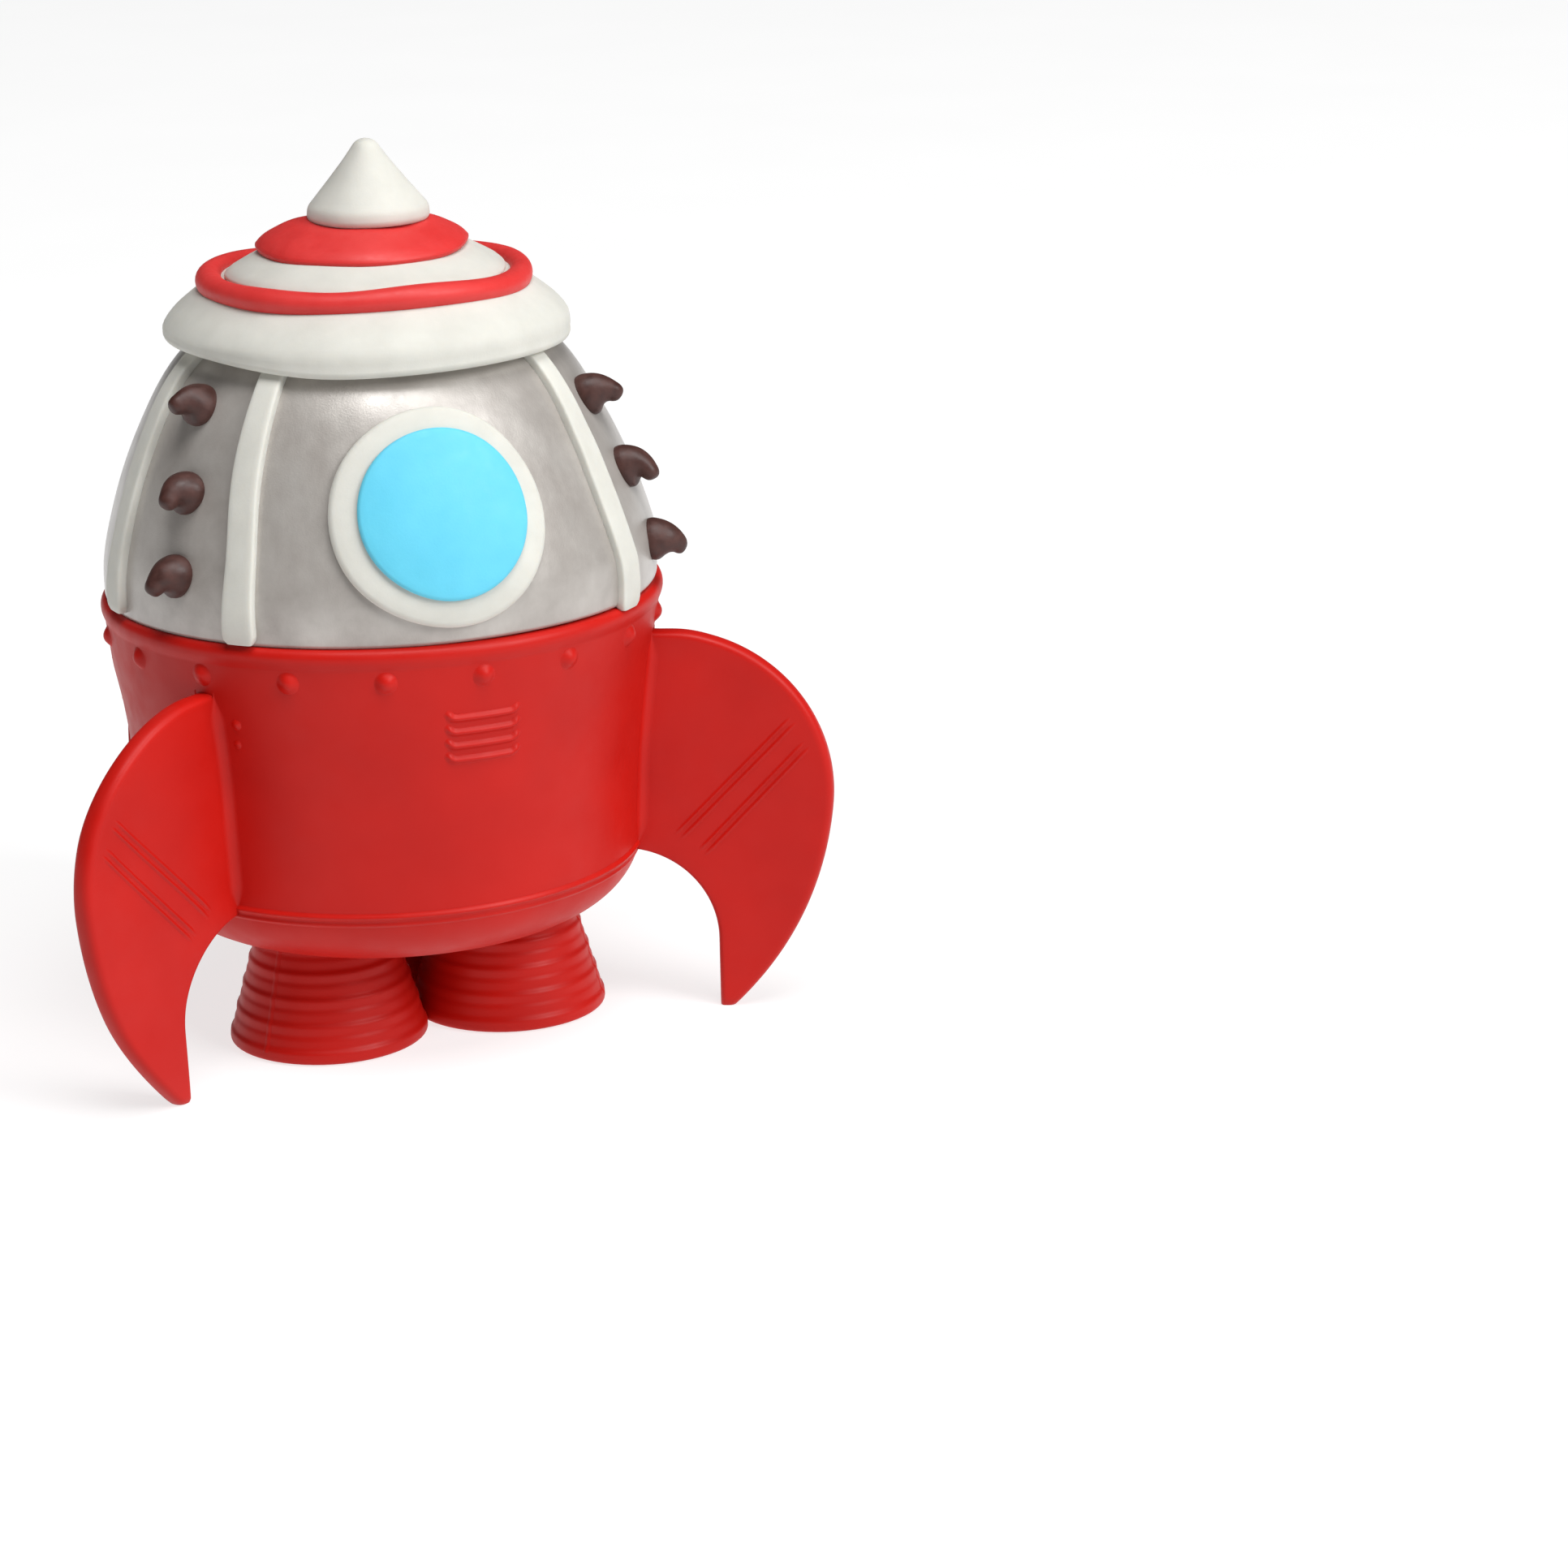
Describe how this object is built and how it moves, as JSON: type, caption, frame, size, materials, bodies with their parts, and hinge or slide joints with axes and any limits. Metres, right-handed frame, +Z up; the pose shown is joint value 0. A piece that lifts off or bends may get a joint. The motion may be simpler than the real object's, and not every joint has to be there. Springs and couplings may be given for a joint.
{
  "type": "rocket baking cup with decorated cake",
  "caption": "Rocket-shaped moulded baking cup on booster feet and curved fins, holding a cake with an iced dome, portholes, chocolate drops and a pointed nose.",
  "frame": {"origin": "on the rocket's axis, on the plane that the feet and the fin tips stand on", "axes": "+Z up along the rocket's axis to the nose; -Y is the front, half way between two fins; +X is to the right of the front; one fin points along +Y"},
  "size_m": [0.104, 0.0972, 0.117],
  "materials": {
    "red_silicone": "satin",
    "sponge": "matte",
    "buttercream": "matte",
    "silver_fondant": "satin",
    "white_fondant": "matte",
    "blue_fondant": "matte",
    "red_fondant": "matte",
    "chocolate": "satin"
  },
  "bodies": {
    "cup": {"silicone_cup": "red_silicone"},
    "cake": {"buttercream_coat": "buttercream", "chocolate_chip_1_1": "chocolate", "chocolate_chip_1_2": "chocolate", "chocolate_chip_1_3": "chocolate", "chocolate_chip_2_1": "chocolate", "chocolate_chip_2_2": "chocolate", "chocolate_chip_2_3": "chocolate", "nose_cone": "white_fondant", "porthole_disc_1": "white_fondant", "porthole_disc_2": "white_fondant", "porthole_pane_1": "blue_fondant", "porthole_pane_2": "blue_fondant", "red_disc": "red_fondant", "red_ring": "red_fondant", "shoulder_disc": "white_fondant", "silver_fondant": "silver_fondant", "sponge_cake": "sponge", "white_disc": "white_fondant", "white_strip_1": "white_fondant", "white_strip_2": "white_fondant", "white_strip_3": "white_fondant", "white_strip_4": "white_fondant", "white_strip_5": "white_fondant", "white_strip_6": "white_fondant"}
  },
  "joints": [
    {"name": "cake_lift", "type": "slide", "parent": "cup", "child": "cake", "axis": [0, 0, 1], "range_m": [0, 0.06]}
  ]
}
